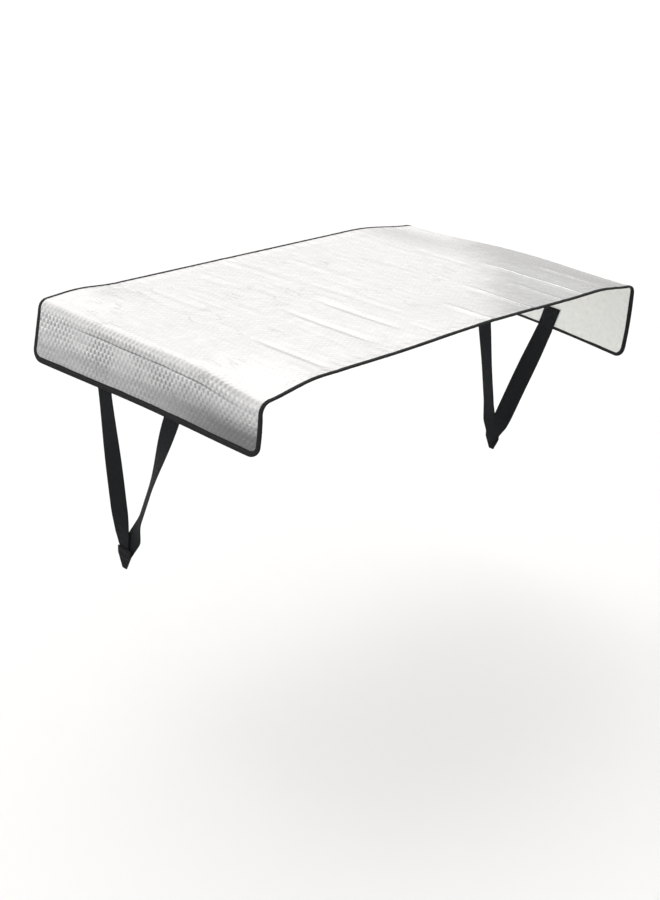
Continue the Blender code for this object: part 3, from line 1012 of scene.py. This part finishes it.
def foil_color(tree, cloth, u, t, marks, inside):
    """Base colour: layers over the plain foil, all but the last of them painted light and shade, the last of
    them that of its inner face.
    """
    tone = map_range(tree, marks["streak"], 0.30, 0.70)
    crest = product(tree, map_range(tree, t, *CREST_HIGHLIGHT_T), map_range(tree, u, *CREST_HIGHLIGHT_U))
    valley_shade = product(tree, map_range(tree, marks["bubble"], 0.0, 0.6, 0.75, 0.0), marks["crisp"])
    layers = (
        # painted light: the left hanging end paler
        (map_range(tree, u, *HANGING_LIGHT), mix_colors(tree, tone, *HANGING_LIGHT_TONES)),
        # painted highlight at the back of the right bend
        (crest, CREST_HIGHLIGHT_COLOR),
        # painted shade over the right end
        (foil_right_shade(tree, cloth, u, t), RIGHT_SHADE_COLOR),
        # painted shade between the bubbles
        (valley_shade, VALLEY_SHADE_COLOR),
        # painted shade on the lower left end
        (foil_left_shade(tree, u, t), DEEP_SHADE_COLOR),
        # painted shade along the creases
        (math_node(tree, "MULTIPLY", marks["crease"], 0.5), CREASE_SHADE_COLOR),
        # painted shade in the dark crease line
        (marks["trough shade"], DEEP_SHADE_COLOR),
        # painted highlight on the pale crease lines
        (marks["ridge highlight"], RIDGE_HIGHLIGHT_COLOR),
        (math_node(tree, "MULTIPLY", inside, 0.95), INSIDE_COLOR),
    )
    color = mix_colors(tree, tone, *FOIL_TONES)
    for share, over in layers:
        color = mix_colors(tree, share, color, over)
    return color


def foil_material():
    """Satin foil over bubbles: staggered embossing, crumples and creases, with painted light and shade in its
    colour; paler and plainer inside.
    """
    finish, tree, shader = new_material("embossed_foil")
    cloth, u, t = flat_place(tree)
    inside = put(tree, "ShaderNodeAttribute", attribute_name="inside").outputs["Fac"]
    outside = math_node(tree, "SUBTRACT", 1.0, math_node(tree, "MULTIPLY", inside, 0.75))
    ridge_highlight, trough_shade = foil_lines(tree, cloth, u, t, outside)
    marks = {
        "bubble": foil_bubbles(tree, u, t),
        "crisp": foil_crispness(tree, cloth, u, outside),
        "crumple": noise(tree, cloth, 70.0, 5.0, 0.62),
        "streak": noise(tree, cloth, 24.0, 4.0, 0.6, stretch=(6.0, 0.8, 1.0)),
        "crease": product(tree, foil_creases(tree, cloth), outside),
        "ridge highlight": ridge_highlight,
        "trough shade": trough_shade,
    }
    height = foil_height(tree, cloth, u, marks)
    tree.links.new(bump(tree, height, FOIL_BUMP), shader.inputs["Normal"])
    tree.links.new(foil_color(tree, cloth, u, t, marks, inside), shader.inputs["Base Color"])
    tree.links.new(map_range(tree, marks["crumple"], 0.3, 0.7, 0.24, 0.34), shader.inputs["Roughness"])
    tree.links.new(map_range(tree, inside, 0.0, 1.0, 0.80, 0.0), shader.inputs["Metallic"])
    return finish


def sine_wave(tree, place, pitch):
    """A sine wave along a place, from -1 to 1."""
    return math_node(tree, "SINE", math_node(tree, "MULTIPLY", place, 2 * math.pi / pitch))


def tape_material():
    """Black woven tape: fine ribs across it, crossed by its long threads."""
    finish, tree, shader = new_material("woven_edge_tape")
    cloth, along, across = flat_place(tree)
    weave = weighted_sum(tree, sine_wave(tree, along, WEFT_PITCH), (sine_wave(tree, across, WARP_PITCH), 0.5))
    wear = noise(tree, cloth, 260.0, 3.0)
    height = weighted_sum(tree, weave, (wear, 1.2))
    tree.links.new(bump(tree, height, TAPE_BUMP), shader.inputs["Normal"])
    shade = map_range(tree, math_node(tree, "ADD", weave, wear), -0.8, 2.0)
    tree.links.new(mix_colors(tree, shade, *TAPE_TONES), shader.inputs["Base Color"])
    tree.links.new(map_range(tree, wear, 0.3, 0.7, 0.66, 0.84), shader.inputs["Roughness"])
    shader.inputs["Specular IOR Level"].default_value = 0.2
    return finish


def webbing_material():
    """Black webbing in a herringbone weave."""
    finish, tree, shader = new_material("herringbone_webbing")
    cloth, along, across = flat_place(tree)
    chevron = math_node(tree, "PINGPONG", across, CHEVRON_PITCH)
    twill = sine_wave(tree, math_node(tree, "ADD", along, chevron), TWILL_PITCH)
    weave = weighted_sum(tree, twill, (sine_wave(tree, across, CORD_PITCH), 0.35))
    wear = noise(tree, cloth, 180.0, 4.0)
    height = math_node(tree, "ADD", weave, wear)
    tree.links.new(bump(tree, height, WEBBING_BUMP), shader.inputs["Normal"])
    shade = map_range(tree, height, -0.8, 1.9)
    tree.links.new(mix_colors(tree, shade, *WEBBING_TONES), shader.inputs["Base Color"])
    tree.links.new(map_range(tree, wear, 0.3, 0.7, 0.70, 0.88), shader.inputs["Roughness"])
    shader.inputs["Specular IOR Level"].default_value = 0.1
    return finish


def thread_material(name, tones, roughness):
    """Twisted polyester thread."""
    finish, tree, shader = new_material(name)
    place = put(tree, "ShaderNodeTexCoord").outputs["Object"]
    inputs = {"Vector": place, "Scale": 900.0, "Distortion": 1.5}
    twist = put(tree, "ShaderNodeTexWave", inputs, bands_direction="DIAGONAL").outputs["Fac"]
    tree.links.new(mix_colors(tree, twist, *tones), shader.inputs["Base Color"])
    tree.links.new(bump(tree, twist, THREAD_BUMP), shader.inputs["Normal"])
    shader.inputs["Roughness"].default_value = roughness
    return finish


def make_pieces():
    """Every visible piece, riding on the frame's one body."""
    tape, webbing = tape_material(), webbing_material()
    black_thread = thread_material("black_thread", BLACK_THREAD_TONES, 0.55)
    silver_thread = thread_material("silver_thread", SILVER_THREAD_TONES, 0.45)
    foil = make_foil(foil_material())
    edge = make_tape(tape)
    seam = make_seam(black_thread)
    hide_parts("foil_sheet")
    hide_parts("edge_binding")
    slots = {foil: "foil", edge: "binding", seam: "binding"}
    for side in ENDS:
        for place in LEG_TOPS:
            leg = make_leg(side, place, webbing)
            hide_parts(f"strap_{side}_{place}")
            slots[leg] = "webbing"
        tab = make_tab(side, webbing)
        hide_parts(f"tip_{side}")
        strap_seam, foil_seam = make_strap_seams(side, black_thread, silver_thread)
        slots.update({tab: "webbing", strap_seam: "webbing", foil_seam: "foil"})
    for piece, slot in slots.items():
        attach(piece, "root")


def make_camera():
    """The photograph's view."""
    yaw, pitch, roll = (math.radians(angle) for angle in (CAMERA_YAW, CAMERA_PITCH, CAMERA_ROLL))
    back = np.array([math.sin(yaw) * math.cos(pitch), -math.cos(yaw) * math.cos(pitch), math.sin(pitch)])
    right = np.array([math.cos(yaw), math.sin(yaw), 0.0])
    up = np.cross(back, right)
    turned_right = math.cos(roll) * right + math.sin(roll) * up
    turned_up = -math.sin(roll) * right + math.cos(roll) * up
    camera = bpy.data.objects.new("camera", bpy.data.cameras.new("camera"))
    camera.data.lens = LENS
    camera.data.sensor_width = SENSOR
    camera.data.sensor_fit = "AUTO"
    axes = Matrix([turned_right, turned_up, back]).transposed().to_4x4()
    camera.matrix_world = Matrix.Translation(CAMERA_PLACE) @ axes
    bpy.context.scene.collection.objects.link(camera)
    bpy.context.scene.camera = camera


def make_floor():
    """Plain pale floor."""
    bpy.ops.mesh.primitive_plane_add(size=FLOOR_SIZE, location=(0, 0, FLOOR_Z))
    floor = bpy.context.object
    floor.name = "floor"
    finish, _, shader = new_material("pale_floor")
    shader.inputs["Base Color"].default_value = FLOOR_COLOR
    shader.inputs["Roughness"].default_value = 0.9
    floor.data.materials.append(finish)


def make_light():
    """Soft studio light: a bright wall behind, dimmer near the floor, and a dimmer room in front."""
    world = bpy.data.worlds.new("studio")
    bpy.context.scene.world = world
    world.use_nodes = True
    tree = world.node_tree
    background = tree.nodes["Background"]
    direction = put(tree, "ShaderNodeTexCoord").outputs["Generated"]
    split = put(tree, "ShaderNodeSeparateXYZ", {"Vector": direction})
    height = split.outputs["Z"]
    behind = map_range(tree, split.outputs["Y"], *WALL_START)
    front = map_range(tree, height, *ROOM_HEIGHT, *ROOM_LIGHT)
    side = split.outputs["X"]
    low = map_range(tree, side, *WALL_LOW_SIDES, *WALL_LOW)
    high = map_range(tree, side, *WALL_HIGH_SIDES, *WALL_HIGH)
    lift = map_range(tree, height, *WALL_LIFT)
    wall = weighted_sum(tree, low, (lift, math_node(tree, "SUBTRACT", high, low)))
    shade = product(tree, math_node(tree, "SUBTRACT", 1.0, behind), front)
    tree.links.new(weighted_sum(tree, shade, (behind, wall)), background.inputs["Strength"])
    background.inputs["Color"].default_value = LIGHT_COLOR
    key = bpy.data.objects.new("key", bpy.data.lights.new("key", "SUN"))
    key.data.energy = KEY_ENERGY
    key.data.angle = math.radians(KEY_SPREAD)
    key.rotation_euler = (*(math.radians(angle) for angle in KEY_TILT), 0)
    bpy.context.scene.collection.objects.link(key)


def main():
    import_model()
    bpy.context.scene.view_settings.view_transform = "Standard"
    make_camera()
    make_pieces()
    make_floor()
    make_light()
    bpy.context.view_layer.update()


main()
